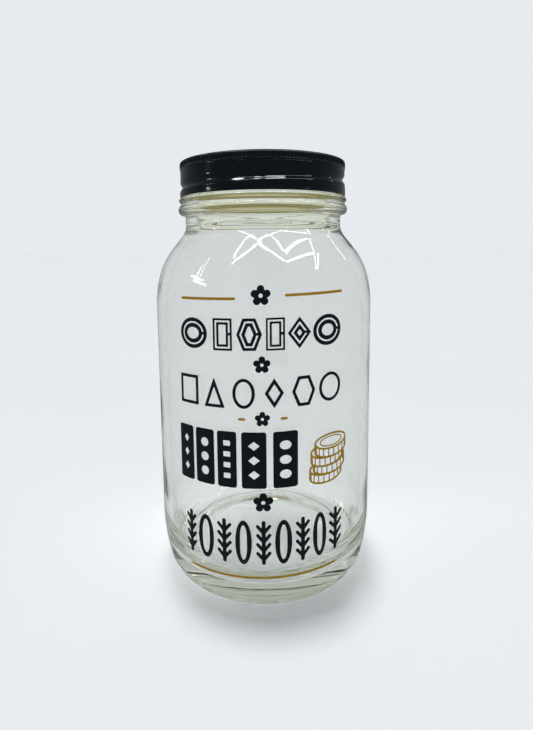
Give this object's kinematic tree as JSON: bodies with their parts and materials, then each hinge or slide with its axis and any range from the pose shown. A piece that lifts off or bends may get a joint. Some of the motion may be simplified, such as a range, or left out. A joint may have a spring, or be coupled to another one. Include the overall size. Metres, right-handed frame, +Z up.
{
  "type": "coin bank jar",
  "caption": "Glass money jar with a two-piece black screw lid, a coin slot in the lid and cut-vinyl decoration on the front.",
  "frame": {"origin": "middle of the surface that the jar stands on", "axes": "+Z up along the jar's axis, -Y towards the decorated front, +X to the right seen from the front"},
  "size_m": [0.0962, 0.0967, 0.1794],
  "materials": {
    "glass": "clear soda-lime glass with a faint green tint, glossy",
    "lacquer": "gloss black lacquer on tinplate",
    "gasket": "soft satin sealing compound",
    "vinyl_black": "satin black adhesive vinyl",
    "vinyl_gold": "satin gold adhesive vinyl"
  },
  "bodies": {
    "jar": {"glass_jar": "glass", "bold_motif_1": "vinyl_black", "bold_motif_2": "vinyl_black", "bold_motif_3": "vinyl_black", "bold_motif_4": "vinyl_black", "bold_motif_5": "vinyl_black", "bold_motif_6": "vinyl_black", "fine_motif_1": "vinyl_black", "fine_motif_2": "vinyl_black", "fine_motif_3": "vinyl_black", "fine_motif_4": "vinyl_black", "fine_motif_5": "vinyl_black", "fine_motif_6": "vinyl_black", "heavy_motif_1": "vinyl_black", "heavy_motif_2": "vinyl_black", "heavy_motif_3": "vinyl_black", "heavy_motif_4": "vinyl_black", "heavy_motif_5": "vinyl_black", "round_motif_1": "vinyl_black", "round_motif_2": "vinyl_black", "round_motif_3": "vinyl_black", "round_motif_4": "vinyl_black", "round_motif_5": "vinyl_black", "round_motif_6": "vinyl_black", "round_motif_7": "vinyl_black", "round_motif_8": "vinyl_black", "round_motif_9": "vinyl_black", "ornament_top": "vinyl_black", "ornament_upper": "vinyl_black", "ornament_middle": "vinyl_black", "ornament_lower": "vinyl_black", "rule_top_left": "vinyl_gold", "rule_top_right": "vinyl_gold", "dash_left": "vinyl_gold", "dash_right": "vinyl_gold", "rule_bottom": "vinyl_gold", "disc_stack": "vinyl_gold"},
    "lid_disc": {"slotted_disc": "lacquer", "gasket": "gasket"},
    "band": {"screw_band": "lacquer"}
  },
  "joints": [
    {"name": "lid_lift", "type": "slide", "parent": "jar", "child": "lid_disc", "axis": [0, 0, 1], "range_m": [0, 0.0165]},
    {"name": "band_turn", "type": "hinge", "parent": "lid_disc", "child": "band", "pos_m": [0, 0, 0.172], "axis": [0, 0, 1], "range_deg": [0, 900]}
  ],
  "couplings": [
    {"joint": "lid_lift", "follows": "band_turn", "m_per_rad": 0.0010106}
  ]
}
